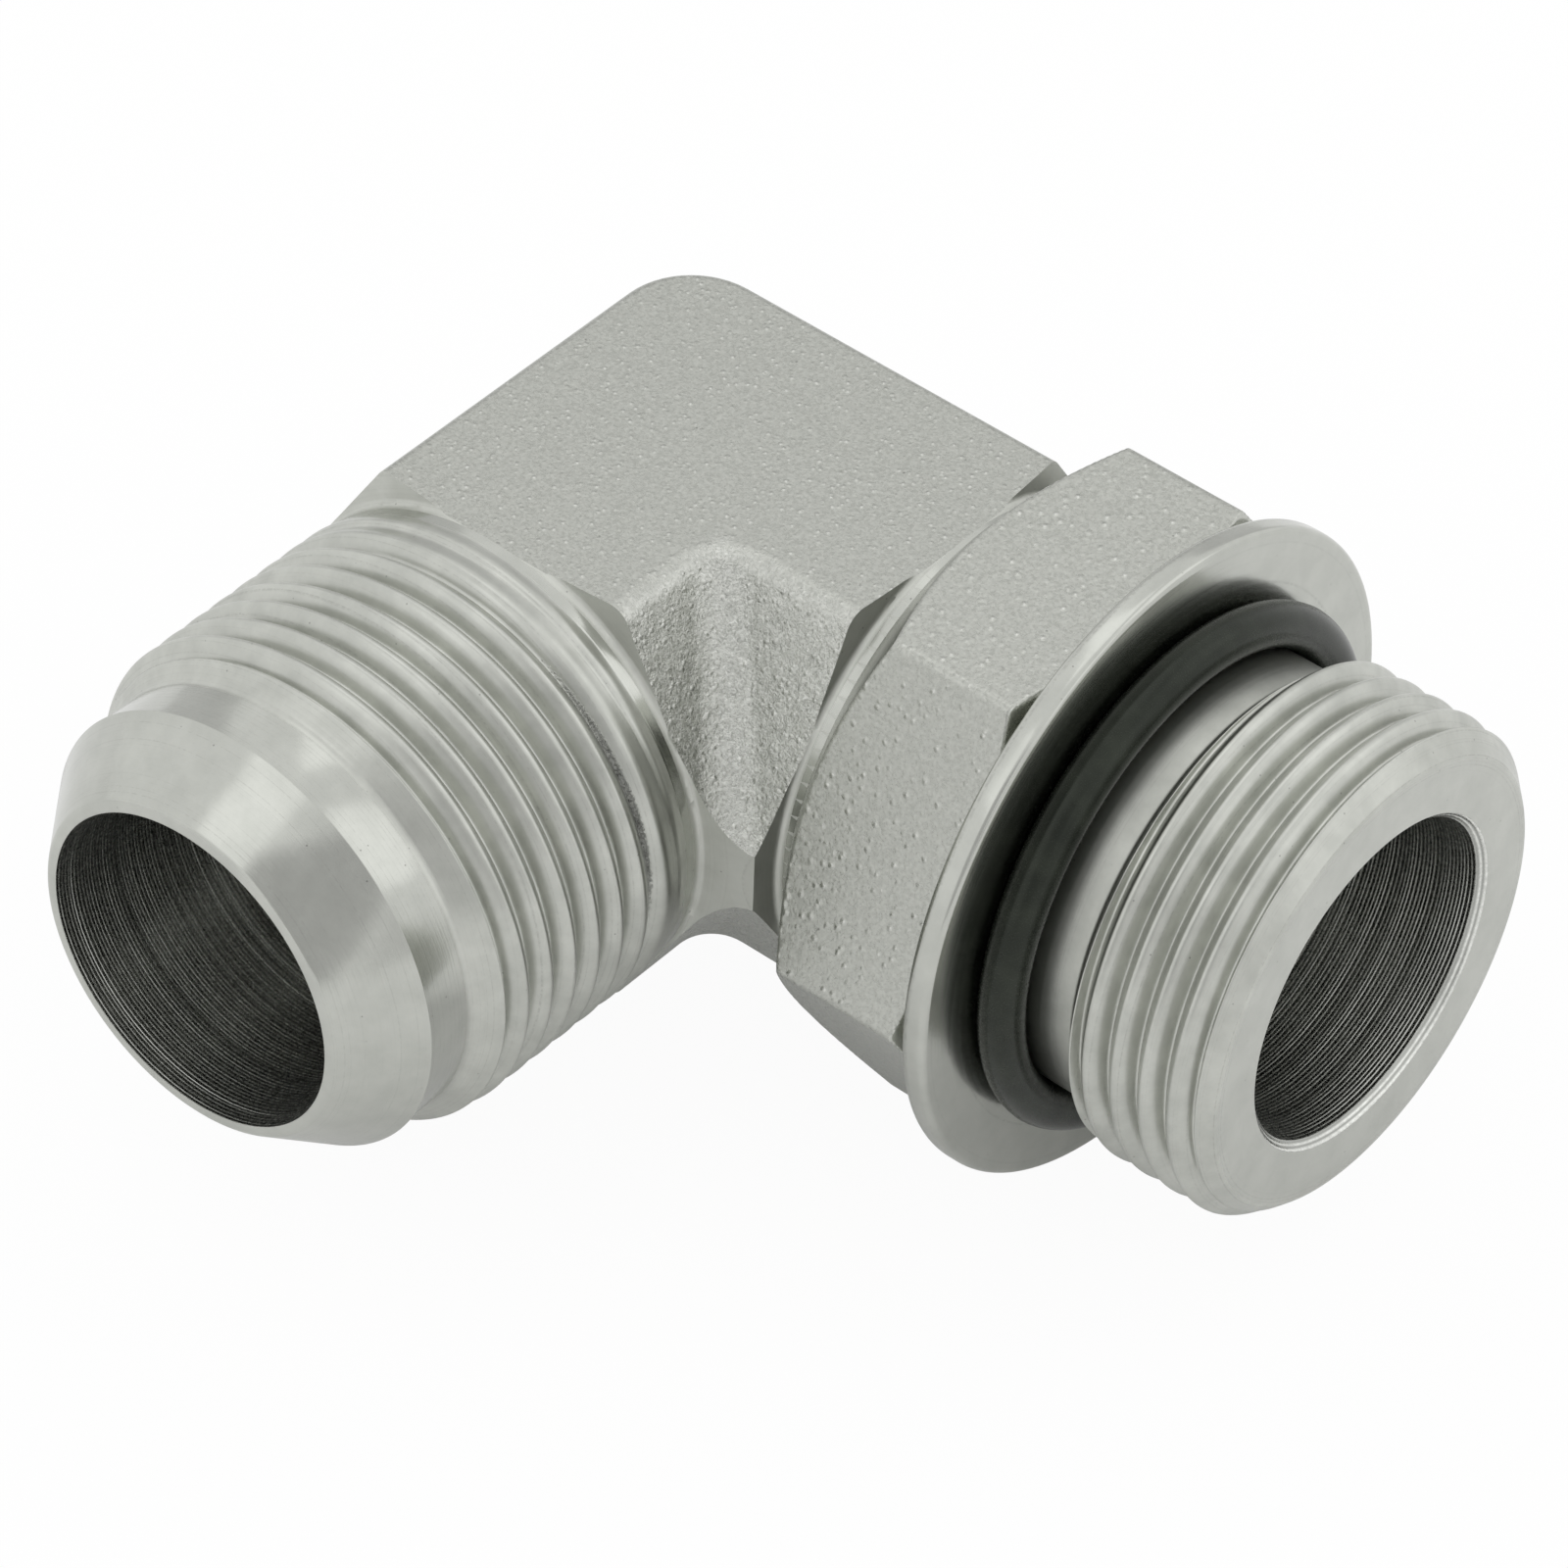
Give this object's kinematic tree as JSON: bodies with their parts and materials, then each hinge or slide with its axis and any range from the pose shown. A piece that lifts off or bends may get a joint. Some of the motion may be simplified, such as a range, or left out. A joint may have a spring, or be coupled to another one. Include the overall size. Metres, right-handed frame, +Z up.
{
  "type": "hydraulic elbow adapter",
  "caption": "Right-angle steel hydraulic adapter: a flare stud, and an adjustable O-ring port stud with its lock nut, backup washer and seal.",
  "frame": {"origin": "where the centrelines of the two studs cross", "axes": "+X out along the O-ring port stud, -Y out along the flare stud, +Z up from the forged flat"},
  "size_m": [0.0715, 0.068, 0.0438],
  "materials": {
    "plated_steel": "zinc plated, satin where turned and fine-grained where forged",
    "seal_rubber": "smooth moulded rubber"
  },
  "bodies": {
    "elbow": {"elbow_body": "plated_steel"},
    "washer": {"backup_washer": "plated_steel", "o_ring": "seal_rubber"},
    "nut": {"lock_nut": "plated_steel"}
  },
  "joints": [
    {"name": "washer_slide", "type": "slide", "parent": "elbow", "child": "washer", "axis": [1, 0, 0], "range_m": [0, 0.0024]},
    {"name": "nut_turn", "type": "hinge", "parent": "washer", "child": "nut", "pos_m": [0.0284, 0, 0], "axis": [1, 0, 0], "range_deg": [0, 410]}
  ],
  "couplings": [
    {"joint": "nut_turn", "follows": "washer_slide", "rad_per_m": 2968.4}
  ]
}
